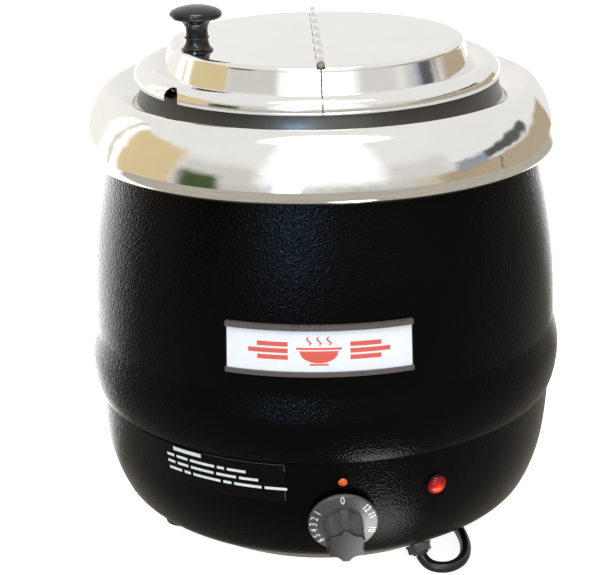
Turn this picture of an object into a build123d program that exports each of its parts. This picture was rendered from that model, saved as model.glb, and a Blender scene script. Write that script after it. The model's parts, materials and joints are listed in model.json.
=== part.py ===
from build123d import *
import os
from math import cos, pi, radians, sin, tan

# Electric soup kettle, in millimetres. The origin is on the kettle's upright axis, on the surface
# it stands on. +Z is up and -Y is the front, where the temperature dial is. An azimuth is
# measured from the front towards +X.

# Driving dimensions
SHEET = 1.2                      # casing and ring sheet
RING_RADIUS = 170.0              # widest part of the polished ring
BEAD_RADIUS = 174.5              # rolled bead round the casing, the widest part of the kettle
BASE_HEIGHT = 12.0               # underside of the base above the surface
SEAM_HEIGHT = 111.0              # where the upper casing stands on the base casing
SEAM_RADIUS = 168.7
CASING_TOP = 307.2
BASE_FLAT_RADIUS = 122.4
BASE_OPENING_RADIUS = 92.0

PAN_RADIUS = 131.5
PAN_BOTTOM = 82.0
PAN_SHEET = 0.8
PAN_FLANGE_RADIUS = 146.0
PAN_CORNER = 12.0

POT_RADIUS = 119.0
POT_BOTTOM = 92.0
POT_SHEET = 1.0
POT_CORNER = 14.0
POT_RIM_RADIUS = 121.2
POT_RIM_HEIGHT = 339.9
POT_RIM_WIRE = 2.6

LID_TOP = 358.8
LID_SHEET = 0.8
LID_FLAT_RADIUS = 100.6
NOTCH_AZIMUTH = -49.8
SLIT_AZIMUTH = -48.8
HINGE_HEIGHT = 360.0
HINGE_LENGTH = 203.0
HINGE_RADIUS = 2.4
HINGE_BORE = 1.25
HINGE_PIN_RADIUS = 1.2
HINGE_KNUCKLES = 15
HINGE_SLOT = 2.7                 # half of the slot in the lid that the hinge barrel stands in
KNUCKLE_GAP = 0.3
LEAF_WIDTH = 14.0
SPLIT_HALF = 0.4                 # half of the split between the lid halves below the hinge
KNOB_X = -81.9
KNOB_Y = -38.4
LID_SHIFT = -1.5                 # the lid lies a little to the left in its play on the ring
LID_TURN = 2.2                   # and is turned a little clockwise, seen from above

DIAL_RADIUS = 164.4              # the wall where the dial's shaft comes out
DIAL_HEIGHT = 66.0
DIAL_TILT = 12.0                 # the wall there leans out upwards, so the dial looks a little down
DIAL_GAP = 2.0
DIAL_SKIRT_RADIUS = 23.5
DIAL_GRIP_RADIUS = 13.6
DIAL_LENGTH = 25.5
DIAL_LOBES = 6
DIAL_FLUTE = 7.5                 # radius of the hollow between two lobes
DIAL_FLUTE_DEPTH = 2.1
SHAFT_RADIUS = 3.0

LAMP_AZIMUTH = 22.4
LAMP_HEIGHT = 84.5
LAMP_RADIUS = 167.1
LAMP_TILT = 5.5
MARKER_HEIGHT = 95.2
MARKER_RADIUS = 167.8

SIGN_AZIMUTH = -4.8
SIGN_SPAN = 41.2
SIGN_LOW = 173.8
SIGN_HIGH = 207.8
SIGN_RAIL = 3.2
SIGN_CLEARANCE = 0.62            # the straight back plate stands this far off the curved wall
RIVET_SPREAD = 13.0
RIVET_HEIGHT = 187.5

LABEL_START = -52.0
LABEL_END = -13.0
LABEL_LOW = 80.0
LABEL_HIGH = 108.5

PLATE_RADIUS = 102.5
PLATE_SHEET = 1.0
PLATE_LOW = BASE_HEIGHT - PLATE_SHEET
PLATE_SCREW_AZIMUTHS = (0.0, 90.0, 180.0, 270.0)
PLATE_SCREW_CIRCLE = 97.0
VENT_SLOTS = 20

HEATER_CIRCLE = 74.0
HEATER_WIRE = 4.0                # radius of the sheathed wire
HEATER_HEIGHT = PAN_BOTTOM - HEATER_WIRE
HEATER_GAP = 20.6                # between the ring's two ends
HEATER_PIN_ANGLE = 11.0          # from the middle of the gap to each cold pin
HEATER_PIN_END = 58.0
CLAMP_TOP = HEATER_HEIGHT - HEATER_WIRE
CLAMP_SHEET = 1.5

THERMOSTAT_FRONT = -4.0          # inside the wall, along the dial's axis
THERMOSTAT_DEPTH = 21.0
THERMOSTAT_SCREW = 14.0          # from the shaft to each of its screws
TERMINAL_END = THERMOSTAT_FRONT - THERMOSTAT_DEPTH - 8.3
BULB_RADIUS = 3.0
BULB_Y = -100.0
BULB_HEIGHT = PAN_BOTTOM - BULB_RADIUS - 0.6

TERMINAL_PLACE = (34.0, -40.0)
TERMINAL_PITCH = 10.5
EARTH_PLACE = (58.0, -22.0, 0.0)

FOOT_AZIMUTHS = (-73.0, 73.0, -140.0, 140.0)
FOOT_CIRCLE = 117.0
FOOT_RADIUS = 12.5

GLAND_AZIMUTH = 26.0
GLAND_RADIUS = 129.6
GLAND_HEIGHT = 16.9
GLAND_TILT = 55.7                # square to the sloping underside of the base
GLAND_LENGTH = 8.0

CORD_RADIUS = 4.0
COIL_CENTRE = (-33.5, 236.0)
COIL_INNER = 34.0
COIL_OUTER = 50.0
COIL_LOW = 0.9
COIL_HIGH = 16.9
PLUG_X = -79.5
PLUG_Y = 216.4                   # the end of its strain relief, on the coil
PLUG_HEIGHT = 11.2

# The cord's route over the surface that the kettle stands on, from the gland to the coil.
CORD_ROUTE = [
    (61.2, -124.2, 6.0),
    (68.0, -128.8, 4.0),
    (78.6, -129.6, 4.0),
    (88.4, -121.6, 4.0),
    (93.6, -107.0, 4.0),
    (94.6, -89.0, 4.0),
    (91.0, -66.0, 4.0),
    (82.5, -37.0, 4.0),
    (70.0, -4.0, 4.0),
    (55.0, 30.0, 4.0),
    (40.0, 66.0, 4.0),
    (27.5, 106.0, 4.0),
    (18.5, 146.0, 4.0),
    (13.8, 184.0, 4.0),
    (12.5, 219.0, 4.7),
]
MAIN_WIRE = 1.7

UPPER_OUTLINE = [
    [(133.0, CASING_TOP), (145.6, CASING_TOP)],
    [(145.6, CASING_TOP), (148.3, 306.1), (149.5, 303.5)],
    [(149.5, 303.5), (154.0, 284.0), (159.6, 258.0), (163.8, 236.0), (167.2, 212.0),
     (169.2, 190.0), (170.2, 168.0), (170.4, 158.0)],
    [(170.4, 158.0), (171.6, 152.0), (173.6, 144.0), (BEAD_RADIUS, 136.0), (174.1, 127.0),
     (172.6, 117.5), (170.4, SEAM_HEIGHT)],
    [(170.4, SEAM_HEIGHT), (166.6, SEAM_HEIGHT)],
]
BASE_WALL = [(SEAM_RADIUS, SEAM_HEIGHT), (167.9, 97.0), (166.6, 80.0), (164.7, 66.0),
             (160.6, 50.0), (156.2, 39.0)]
BASE_OUTLINE = [
    BASE_WALL,
    [(156.2, 39.0), (153.4, 34.2), (148.8, 30.0)],
    [(148.8, 30.0), (BASE_FLAT_RADIUS, BASE_HEIGHT)],
    [(BASE_FLAT_RADIUS, BASE_HEIGHT), (BASE_OPENING_RADIUS, BASE_HEIGHT)],
]
RING_OUTLINE = [
    [(120.4, 336.8), (124.4, 336.8)],
    [(124.4, 336.8), (125.6, 336.2), (126.1, 335.0)],
    [(126.1, 335.0), (126.3, 331.0), (127.4, 324.0), (130.0, 318.0)],
    [(130.0, 318.0), (135.5, 323.0), (142.0, 327.2), (149.0, 329.2), (156.0, 324.5),
     (162.0, 316.0), (167.0, 305.7), (RING_RADIUS, 295.0)],
    [(RING_RADIUS, 295.0), (168.9, 289.2), (165.4, 285.3)],
]
LID_OUTLINE = [
    [(0.0, LID_TOP), (LID_FLAT_RADIUS, LID_TOP)],
    [(LID_FLAT_RADIUS, LID_TOP), (102.6, 357.9), (103.7, 355.6)],
    [(103.7, 355.6), (109.4, 339.9)],
    [(109.4, 339.9), (113.5, 342.8), (119.5, 344.6), (125.0, 343.0), (128.6, 338.6),
     (128.9, 333.5)],
]


def curve(points):
    """A line, an arc or a spline through points given as radius and height."""
    spots = [Vector(radius, 0, height) for radius, height in points]
    if len(spots) == 2:
        return Line(*spots)
    if len(spots) == 3:
        return ThreePointArc(*spots)
    return Spline(*spots)


def moved_in(outline, distance):
    """The outline moved to the inside of its sheet, mitred where two sections meet."""
    normals = []
    for section in outline:
        row = []
        for i in range(len(section)):
            before = section[max(i - 1, 0)]
            after = section[min(i + 1, len(section) - 1)]
            along = Vector(after[0] - before[0], after[1] - before[1]).normalized()
            row.append(Vector(along.Y, -along.X))
        normals.append(row)
    for first, second in zip(normals, normals[1:]):
        mitre = (first[-1] + second[0]) / (1 + first[-1].dot(second[0]))
        first[-1] = mitre
        second[0] = mitre
    moved = []
    for section, row in zip(outline, normals):
        moved.append([(p[0] + distance * n.X, p[1] + distance * n.Y)
                      for p, n in zip(section, row)])
    return moved


def sheet_face(outline, thickness):
    """The cut face of a sheet that follows an outline of radius and height."""
    inner = moved_in(outline, thickness)
    if outline[0][0][0] == 0:
        inner[0][0] = (0.0, outline[0][0][1] - thickness)
    edges = [curve(section) for section in outline]
    edges += [curve(section) for section in inner]
    edges.append(curve([outline[0][0], inner[0][0]]))
    edges.append(curve([outline[-1][-1], inner[-1][-1]]))
    return Face(Wire([edge for line in edges for edge in line.edges()]))


def turned(outline, thickness):
    """A sheet turned all round the kettle's axis."""
    return revolve(sheet_face(outline, thickness), Axis.Z)


def sector(face, start, span):
    """A face turned through part of a circle, from one azimuth over a span."""
    return revolve(face.rotate(Axis.Z, start - 90), Axis.Z, revolution_arc=span)


def rod(radius, low, high):
    """A round bar along Z between two heights."""
    upright = (Align.CENTER, Align.CENTER, Align.MIN)
    return Pos(0, 0, low) * Cylinder(radius, high - low, align=upright)


def tube(outer, inner, low, high):
    """A round tube along Z between two heights."""
    return rod(outer, low, high) - rod(inner, low - 1, high + 1)


def nut(across_flats, bore, low, high):
    """A hexagon nut along Z."""
    blank = extrude(RegularPolygon(across_flats / 2, 6, major_radius=False), high - low)
    return Pos(0, 0, low) * blank - rod(bore, low - 1, high + 1)


def screw(head_radius, head_height, shank_radius, length):
    """A pan head screw whose head stands up from z = 0 and whose shank points down."""
    head = rod(head_radius, 0, head_height)
    head = fillet(head.edges().group_by(Axis.Z)[-1], head_height * 0.45)
    slot = Pos(0, 0, head_height) * Box(head_radius * 1.3, 0.9, head_height * 0.7)
    return head + rod(shank_radius, -length, 0) - slot


def round_place(azimuth, radius, height=0.0):
    """The point at an azimuth, a radius and a height."""
    return Vector(radius * sin(radians(azimuth)), -radius * cos(radians(azimuth)), height)


def wall_plane(azimuth, radius, height, tilt):
    """A plane on the wall: x to the right, y up the wall and z straight out of it."""
    out = round_place(azimuth, cos(radians(tilt)), -sin(radians(tilt)))
    right = Vector(cos(radians(azimuth)), sin(radians(azimuth)), 0)
    return Plane(origin=round_place(azimuth, radius, height), x_dir=right, z_dir=out)


def wall_radius(outline, height):
    """The radius of a wall's outline at a height between its points."""
    for high, low in zip(outline, outline[1:]):
        if low[1] <= height <= high[1]:
            share = (height - low[1]) / (high[1] - low[1])
            return low[0] + share * (high[0] - low[0])
    raise ValueError("height outside the wall")


DIAL_PLANE = wall_plane(0.0, DIAL_RADIUS, DIAL_HEIGHT, DIAL_TILT)
LAMP_PLANE = wall_plane(LAMP_AZIMUTH, LAMP_RADIUS, LAMP_HEIGHT, LAMP_TILT)
MARKER_PLANE = wall_plane(0.0, MARKER_RADIUS, MARKER_HEIGHT, 4.0)
GLAND_PLANE = wall_plane(GLAND_AZIMUTH, GLAND_RADIUS, GLAND_HEIGHT, GLAND_TILT)
RIVET_PLANES = [wall_plane(SIGN_AZIMUTH + side * RIVET_SPREAD, 169.2, RIVET_HEIGHT, 3.0)
                for side in (-1, 1)]


# Casings

def upper_casing():
    shell = turned(UPPER_OUTLINE, SHEET)
    for plane in RIVET_PLANES:
        shell -= plane * rod(1.7, -8, 8)
    return shell


def base_casing():
    shell = turned(BASE_OUTLINE, SHEET) - rod(SEAM_RADIUS + 1, SEAM_HEIGHT, SEAM_HEIGHT + 1)
    ledge = tube(SEAM_RADIUS - 0.3, 165.0, SEAM_HEIGHT - SHEET, SEAM_HEIGHT)
    spigot = tube(166.2, 165.0, SEAM_HEIGHT - 0.1, SEAM_HEIGHT + 10)
    shell = shell + ledge + spigot
    shell -= DIAL_PLANE * rod(4.4, -9, 9)
    for side in (-1, 1):
        shell -= DIAL_PLANE * Pos(side * THERMOSTAT_SCREW, 0, 0) * rod(2.1, -9, 9)
    shell -= LAMP_PLANE * rod(6.0, -9, 9)
    shell -= MARKER_PLANE * rod(1.5, -9, 9)
    shell -= GLAND_PLANE * rod(6.0, -6, 6)
    for azimuth in FOOT_AZIMUTHS:
        shell -= Pos(*round_place(azimuth, FOOT_CIRCLE)) * rod(2.2, 0, 20)
    for azimuth in PLATE_SCREW_AZIMUTHS:
        shell -= Pos(*round_place(azimuth, PLATE_SCREW_CIRCLE)) * rod(1.6, 0, 20)
    return shell


def base_plate():
    plate = rod(PLATE_RADIUS, PLATE_LOW, BASE_HEIGHT)
    slots = Sketch()
    for i in range(VENT_SLOTS):
        slots += Rot(0, 0, i * 360 / VENT_SLOTS) * Pos(66, 0) * SlotOverall(26, 4.5)
    plate -= Pos(0, 0, PLATE_LOW - 1) * extrude(slots, 4)
    plate -= rod(3.3, PLATE_LOW - 1, BASE_HEIGHT + 1)
    plate -= Pos(*EARTH_PLACE) * rod(2.1, PLATE_LOW - 1, BASE_HEIGHT + 1)
    for azimuth in PLATE_SCREW_AZIMUTHS:
        plate -= Pos(*round_place(azimuth, PLATE_SCREW_CIRCLE)) * rod(1.6, 0, 20)
    return plate


def plate_screws():
    one = Rot(180, 0, 0) * screw(3.2, 1.9, 1.55, 6.0)
    return [Pos(*round_place(azimuth, PLATE_SCREW_CIRCLE, PLATE_LOW)) * one
            for azimuth in PLATE_SCREW_AZIMUTHS]


def rubber_foot(azimuth):
    """A tapered rubber foot with a recess for its screw."""
    foot = Cone(FOOT_RADIUS, FOOT_RADIUS - 1.5, BASE_HEIGHT,
                align=(Align.CENTER, Align.CENTER, Align.MIN))
    foot = fillet(foot.edges().group_by(Axis.Z)[0], 1.2)
    foot -= rod(4.4, -1, 7)
    foot -= rod(2.2, -1, 20)
    return Pos(*round_place(azimuth, FOOT_CIRCLE)) * foot


def foot_screws():
    one = Pos(0, 0, 7) * Rot(180, 0, 0) * screw(4.0, 2.6, 2.15, 13.0)
    return [Pos(*round_place(azimuth, FOOT_CIRCLE)) * one for azimuth in FOOT_AZIMUTHS]


# Water pan and heater

def drawn_vessel(radius, low, high, sheet, corner):
    """A deep drawn vessel with a rounded bottom corner."""
    outer = rod(radius, low, high)
    outer = fillet(outer.edges().group_by(Axis.Z)[0], corner)
    inner = rod(radius - sheet, low + sheet, high + 1)
    inner = fillet(inner.edges().group_by(Axis.Z)[0], corner - sheet)
    return outer - inner


def water_pan():
    vessel = drawn_vessel(PAN_RADIUS, PAN_BOTTOM, CASING_TOP + PAN_SHEET, PAN_SHEET, PAN_CORNER)
    flange = tube(PAN_FLANGE_RADIUS, PAN_RADIUS - PAN_SHEET, CASING_TOP, CASING_TOP + PAN_SHEET)
    return vessel + flange


def heater_pin_place(side):
    """The place of one of the heater's two cold pins, near the gap in the ring."""
    turn = radians(side * HEATER_PIN_ANGLE)
    return Vector(-HEATER_CIRCLE * cos(turn), HEATER_CIRCLE * sin(turn), 0)


def heater_element():
    """An open ring of sheathed wire pressed against the pan, with a cold pin down from each end."""
    ring = Pos(0, 0, HEATER_HEIGHT) * Torus(HEATER_CIRCLE, HEATER_WIRE - 0.02)
    ring -= Pos(-HEATER_CIRCLE, 0, HEATER_HEIGHT) * Box(20, HEATER_GAP, 20)
    for side in (-1, 1):
        ring += Pos(*heater_pin_place(side)) * rod(2.5, HEATER_PIN_END, HEATER_HEIGHT)
    return ring


def heater_clamp_plate():
    plate = rod(86, CLAMP_TOP - CLAMP_SHEET, CLAMP_TOP)
    plate -= rod(3.3, 0, 100)
    for side in (-1, 1):
        plate -= Pos(*heater_pin_place(side)) * rod(3.4, 0, 100)
    return plate


def tie_rod():
    return rod(3.0, 6.5, PAN_BOTTOM)


def tie_rod_nuts():
    """One nut holds the heater clamp up to the pan and one holds the base plate on."""
    under_clamp = nut(10, 3.02, CLAMP_TOP - CLAMP_SHEET - 5, CLAMP_TOP - CLAMP_SHEET)
    under_base = nut(10, 3.02, PLATE_LOW - 3.8, PLATE_LOW)
    return [under_clamp, under_base]


# Thermostat and dial

def thermostat_body():
    case = Box(34, 31, THERMOSTAT_DEPTH, align=(Align.CENTER, Align.CENTER, Align.MAX))
    case = fillet(case.edges().filter_by(Axis.Z), 2.5)
    case = Pos(0, 0, THERMOSTAT_FRONT) * case
    case += rod(8.0, THERMOSTAT_FRONT - 1, -1.6)
    for side in (-1, 1):
        terminal = Pos(side * 9, 8, THERMOSTAT_FRONT - THERMOSTAT_DEPTH - 3.5) * Box(6.3, 0.8, 8)
        case += terminal
        case += Pos(side * THERMOSTAT_SCREW, 0, 0) * rod(3.4, THERMOSTAT_FRONT - 1, -2.4)
        case -= Pos(side * THERMOSTAT_SCREW, 0, 0) * rod(2.0, -13, 0)
    case -= rod(SHAFT_RADIUS + 0.05, THERMOSTAT_FRONT - 5, 0)
    return DIAL_PLANE * case


def thermostat_screws():
    one = Pos(0, 0, 0.02) * screw(3.6, 1.7, 1.95, 11.0)
    return [DIAL_PLANE * Pos(side * THERMOSTAT_SCREW, 0, 0) * one for side in (-1, 1)]


def thermostat_shaft():
    """A round shaft with a flat where the dial grips it."""
    low = THERMOSTAT_FRONT - 4.7
    bar = rod(SHAFT_RADIUS, low, DIAL_GAP + 15)
    flat = Pos(0, SHAFT_RADIUS, DIAL_GAP + 10) * Box(8, 1.6, 16)
    return DIAL_PLANE * (bar - flat)


def control_knob():
    """The dial: a numbered skirt, a grip with six lobes and a socket for the shaft."""
    front = DIAL_GAP + DIAL_LENGTH
    outline = [(0, DIAL_GAP), (DIAL_SKIRT_RADIUS, DIAL_GAP), (DIAL_SKIRT_RADIUS, DIAL_GAP + 1.6),
               (DIAL_SKIRT_RADIUS - 0.9, DIAL_GAP + 2.4), (15.0, DIAL_GAP + 4.0),
               (0, DIAL_GAP + 4.2)]
    spots = [Vector(radius, 0, height) for radius, height in outline]
    skirt = revolve(Face(Wire(Polyline(*spots, close=True).edges())), Axis.Z)
    grip = Circle(DIAL_GRIP_RADIUS)
    for i in range(DIAL_LOBES):
        turn = Rot(0, 0, (i + 0.5) * 360 / DIAL_LOBES)
        grip -= turn * Pos(0, DIAL_GRIP_RADIUS + DIAL_FLUTE - DIAL_FLUTE_DEPTH) * Circle(DIAL_FLUTE)
    grip = Pos(0, 0, DIAL_GAP + 3) * extrude(grip, front - DIAL_GAP - 3, taper=1.2)
    grip = chamfer(grip.edges().group_by(Axis.Z)[-1], 0.6)
    socket = rod(SHAFT_RADIUS + 0.02, DIAL_GAP - 1, DIAL_GAP + 15.2)
    flat = Pos(0, SHAFT_RADIUS, DIAL_GAP + 10) * Box(8, 1.56, 16)
    recess = rod(20.5, DIAL_GAP - 1, DIAL_GAP + 1.2) - rod(6.0, DIAL_GAP - 1, DIAL_GAP + 2)
    return DIAL_PLANE * (skirt + grip - (socket - flat) - recess)


def thermostat_bulb():
    return Pos(0, BULB_Y, BULB_HEIGHT) * Rot(0, 90, 0) * rod(BULB_RADIUS, -30, 30)


def bulb_clip():
    """A spring strip that holds the bulb up against the pan."""
    strap = Box(14, 22, 0.6) + Pos(0, 0, -3.6) * Box(14, 8.8, 6.7)
    strap -= Pos(0, 0, -3.1) * Box(16, 7.0, 6.5)
    strap += Pos(0, 0, -6.65) * Box(14, 8.8, 0.6)
    return Pos(0, BULB_Y, PAN_BOTTOM - 0.32) * strap


def route_radii(points):
    """The largest arc at each corner of a route that its two runs leave room for."""
    radii = []
    for before, here, after in zip(points, points[1:], points[2:]):
        first = Vector(*here) - Vector(*before)
        second = Vector(*after) - Vector(*here)
        turn = radians(first.get_angle(second))
        radii.append(0.45 * min(first.length, second.length) / tan(turn / 2))
    return radii


def swept_tube(points, radius):
    """A round tube along straight runs joined by tangent arcs."""
    path = FilletPolyline(*points, radius=route_radii(points))
    start = Plane(origin=path @ 0, z_dir=path % 0)
    return sweep(start * Circle(radius), path=path), path


def capillary_tube():
    """The fine copper tube from the thermostat to its bulb."""
    start = (DIAL_PLANE * Pos(0, -6, THERMOSTAT_FRONT - THERMOSTAT_DEPTH - 0.2)).position
    points = [tuple(start), (0, start.Y + 12, start.Z), (16, -112, 58), (34, -106, 68),
              (42, -100.5, 75), (38, -100, BULB_HEIGHT), (30.0, -100, BULB_HEIGHT)]
    return swept_tube(points, 0.9)[0]


# Lamp, marker, sign and label

def pilot_lamp_lens():
    """A domed lens whose rim covers the lamp's body, with a plug that drops into it."""
    dome = (Pos(0, 0, -0.7) * Sphere(7.0)) & rod(8, 2.0, 9)
    return LAMP_PLANE * (dome + rod(6.9, 1.15, 2.1) + rod(5.2, -3.0, 1.2))


def pilot_lamp_body():
    """A thin flange in front of the wall and a threaded barrel through it."""
    body = rod(6.7, 0.3, 1.1) + rod(5.9, -24, 0.4)
    body -= rod(5.3, -3.1, 3)
    for side in (-1, 1):
        body += Pos(side * 2.6, 0, -26.5) * Box(0.8, 4.0, 6.0)
    return LAMP_PLANE * body


def pilot_lamp_nut():
    return LAMP_PLANE * nut(15, 5.93, -6.0, -2.0)


def index_marker():
    dome = (Pos(0, 0, -2.2) * Sphere(3.8)) & rod(4, 0.1, 3)
    return MARKER_PLANE * (dome + rod(1.45, -3.2, 0.2))


def cone_band(low, high, inside, outside, clearance):
    """The cut face of a band that leans with the casing's wall."""
    wall = UPPER_OUTLINE[2]
    foot = wall_radius(wall, low) + clearance
    head = wall_radius(wall, high) + clearance
    return make_face(Polyline((foot + inside, 0, low), (foot + outside, 0, low),
                              (head + outside, 0, high), (head + inside, 0, high), close=True))


def sign_holder():
    """A curved back plate with a grooved rail along its top and bottom edge."""
    start = SIGN_AZIMUTH - SIGN_SPAN / 2
    back = sector(cone_band(SIGN_LOW, SIGN_HIGH, 0, 1.0, SIGN_CLEARANCE), start, SIGN_SPAN)
    for low in (SIGN_LOW, SIGN_HIGH - SIGN_RAIL):
        rail = cone_band(low, low + SIGN_RAIL, 0.9, 3.2, SIGN_CLEARANCE)
        back += sector(rail, start, SIGN_SPAN)
    groove = cone_band(SIGN_LOW + 1.6, SIGN_HIGH - 1.6, 1.0, 2.0, SIGN_CLEARANCE)
    back -= sector(groove, start - 1, SIGN_SPAN + 2)
    for plane in RIVET_PLANES:
        back -= plane * rod(1.7, -8, 8)
    return back


def sign_card():
    band = cone_band(SIGN_LOW + 1.8, SIGN_HIGH - 1.8, 1.25, 1.8, SIGN_CLEARANCE)
    return sector(band, SIGN_AZIMUTH - SIGN_SPAN / 2 + 0.3, SIGN_SPAN - 0.6)


def sign_rivets():
    one = rod(1.65, -1.6, 1.15) + rod(3.0, -2.4, -1.5)
    return [plane * one for plane in RIVET_PLANES]


def safety_label():
    """A thin label that follows the base wall."""
    steps = 5
    heights = [LABEL_HIGH + (LABEL_LOW - LABEL_HIGH) * i / steps for i in range(steps + 1)]
    outline = [[(wall_radius(BASE_WALL, height) + 0.5, height) for height in heights]]
    return sector(sheet_face(outline, 0.3), LABEL_START, LABEL_END - LABEL_START)


# Wiring

def terminal_block():
    block = Box(34, 18, 16, align=(Align.CENTER, Align.CENTER, Align.MIN))
    block = fillet(block.edges().filter_by(Axis.Z), 1.5)
    for i in (-1, 0, 1):
        block -= Pos(i * TERMINAL_PITCH, 0, 12) * rod(2.6, 0, 6)
        block -= Pos(i * TERMINAL_PITCH, 0, 7) * Rot(90, 0, 0) * rod(MAIN_WIRE + 0.05, 2, 12)
        block -= Pos(i * TERMINAL_PITCH, 0, 7) * Rot(90, 0, 0) * rod(MAIN_WIRE + 0.05, -12, -2)
    return Pos(TERMINAL_PLACE[0], TERMINAL_PLACE[1], BASE_HEIGHT) * block


def earth_stud():
    """A stud through the base plate with the two nuts that clamp the earth wire's ring."""
    stud = rod(2.0, PLATE_LOW - 0.02, BASE_HEIGHT + 15)
    low_nut = nut(7, 2.0, BASE_HEIGHT, BASE_HEIGHT + 3.2)
    high_nut = nut(7, 2.0, BASE_HEIGHT + 5.0, BASE_HEIGHT + 8.2)
    return Pos(*EARTH_PLACE) * (stud + low_nut + high_nut)


def terminal_mouth(position, side):
    """Where a wire enters the terminal block: position -1, 0 or 1, at its front or back."""
    return Vector(TERMINAL_PLACE[0] + position * TERMINAL_PITCH, TERMINAL_PLACE[1] + side * 3,
                  BASE_HEIGHT + 7)


def inside_gland(across):
    """Where one of the cord's three wires leaves the gland inside the casing."""
    return tuple((GLAND_PLANE * Pos(across, 0, -14.2)).position)


def live_wire():
    mouth = terminal_mouth(1, -1)
    points = [inside_gland(0), (48, -97, 34), (45.5, -76, 27), (mouth.X, -60, 19),
              (mouth.X, mouth.Y, 19)]
    return swept_tube(points, MAIN_WIRE - 0.1)[0]


def neutral_wire():
    mouth = terminal_mouth(0, -1)
    points = [inside_gland(-4.2), (40, -100, 35), (36, -78, 28), (mouth.X, -60, 19),
              (mouth.X, mouth.Y, 19)]
    return swept_tube(points, MAIN_WIRE - 0.1)[0]


def earth_wire():
    """The earth wire and its ring on the stud."""
    points = [inside_gland(4.2), (60, -90, 41), (66, -64, 34), (66, -40, 23), (60.8, -27.4, 18.6),
              (58.6, -23.6, 16.2)]
    wire = swept_tube(points, MAIN_WIRE - 0.2)[0]
    eye = Pos(EARTH_PLACE[0], EARTH_PLACE[1], 0) * tube(4.4, 2.05, BASE_HEIGHT + 3.25,
                                                        BASE_HEIGHT + 4.95)
    keep = wire - Pos(EARTH_PLACE[0], EARTH_PLACE[1], 0) * rod(4.0, 0, 22)
    return eye + keep


def switched_wire():
    """The live wire from the terminal block to the thermostat."""
    mouth = terminal_mouth(1, 1)
    end = (DIAL_PLANE * Pos(9, 8, TERMINAL_END)).position
    points = [(mouth.X, mouth.Y, 19), (mouth.X, -24, 19), (32, -8, 33), (8, -34, 46),
              (2, -80, 52), (4, -112, 62), (end.X, end.Y, end.Z)]
    return swept_tube(points, MAIN_WIRE - 0.1)[0]


def heater_wires():
    """The wires from the thermostat and from the terminal block to the heater's two ends."""
    first_pin = heater_pin_place(-1)
    second_pin = heater_pin_place(1)
    end = HEATER_PIN_END - 0.3
    start = (DIAL_PLANE * Pos(-9, 8, TERMINAL_END)).position
    points = [tuple(start), (-12, -112, 62), (-34, -82, 52), (-60, -42, 46),
              (first_pin.X - 1, first_pin.Y - 4, 45), (first_pin.X, first_pin.Y, end)]
    first = swept_tube(points, MAIN_WIRE - 0.1)[0]
    mouth = terminal_mouth(0, 1)
    points = [(mouth.X, mouth.Y, 19), (mouth.X, -24, 19), (18, 6, 26), (-22, 26, 34),
              (second_pin.X + 2, second_pin.Y + 2, 43), (second_pin.X, second_pin.Y, end)]
    second = swept_tube(points, MAIN_WIRE - 0.1)[0]
    return [first, second]


def lamp_wires():
    """The lamp's two thin wires to the terminal block."""
    wires = []
    for side, position, rise in ((-1, 0, 0), (1, 1, 6)):
        start = (LAMP_PLANE * Pos(side * 2.6, 0, -30.2)).position
        x = TERMINAL_PLACE[0] + position * TERMINAL_PITCH
        points = [tuple(start), (52 + 5 * position, -108 + 2 * position, 74 + rise),
                  (47 + 6 * position, -86, 54 + rise), (x + 1, TERMINAL_PLACE[1] - 6, 42 + rise),
                  (x, TERMINAL_PLACE[1], BASE_HEIGHT + 13)]
        wires.append(swept_tube(points, 0.9)[0])
    return wires


# Cord and what is on it

def cord_gland():
    """The gland's threaded body with its round flange, clamping nut and short tapered nose."""
    clamp = extrude(RegularPolygon(7.6, 6, major_radius=False), 4.6)
    clamp = Pos(0, 0, 1.8) * Rot(0, 0, 12) * clamp
    clamp = chamfer(clamp.edges().group_by(Axis.Z)[-1], 0.7)
    nose = Pos(0, 0, 6.4) * Cone(6.2, 5.2, GLAND_LENGTH - 6.4,
                                 align=(Align.CENTER, Align.CENTER, Align.MIN))
    body = rod(9.2, 0, 1.8) + clamp + nose + rod(5.9, -13, 0)
    return GLAND_PLANE * (Pos(0, 0, 0.25) * body)


def cord_gland_nut():
    return GLAND_PLANE * nut(15, 5.95, -6.4, -2.2)


def cord_start():
    return (GLAND_PLANE * Pos(0, 0, GLAND_LENGTH + 0.25)).position


def supply_cord():
    """The part of the cord that lies between the gland and the coil."""
    points = [tuple(cord_start())] + CORD_ROUTE
    cord, path = swept_tube(points, CORD_RADIUS)
    print("cord radii", [round(radius, 1) for radius in route_radii(points)])
    print("cord length", round(path.length, 1), "volume share",
          round(cord.volume / (pi * CORD_RADIUS ** 2 * path.length), 4))
    return cord


def cord_coil():
    """The outer shape of the wound part of the cord."""
    ring = tube(COIL_OUTER, COIL_INNER, COIL_LOW, COIL_HIGH)
    ring = fillet(ring.edges().filter_by(GeomType.CIRCLE), 3.0)
    return Pos(COIL_CENTRE[0], COIL_CENTRE[1], 0) * ring


def cord_tie():
    """A strap once round the coil."""
    width = COIL_OUTER - COIL_INNER
    strap = Box(width + 2.4, 9.0, COIL_HIGH + 0.9, align=(Align.CENTER, Align.CENTER, Align.MIN))
    strap -= Pos(0, 0, COIL_LOW - 0.02) * Box(width + 1.0, 12.0, COIL_HIGH - COIL_LOW + 0.04,
                                              align=(Align.CENTER, Align.CENTER, Align.MIN))
    strap = Pos((COIL_OUTER + COIL_INNER) / 2, 0, 0) * strap
    return Pos(COIL_CENTRE[0], COIL_CENTRE[1], 0) * Rot(0, 0, 62) * strap


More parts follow.
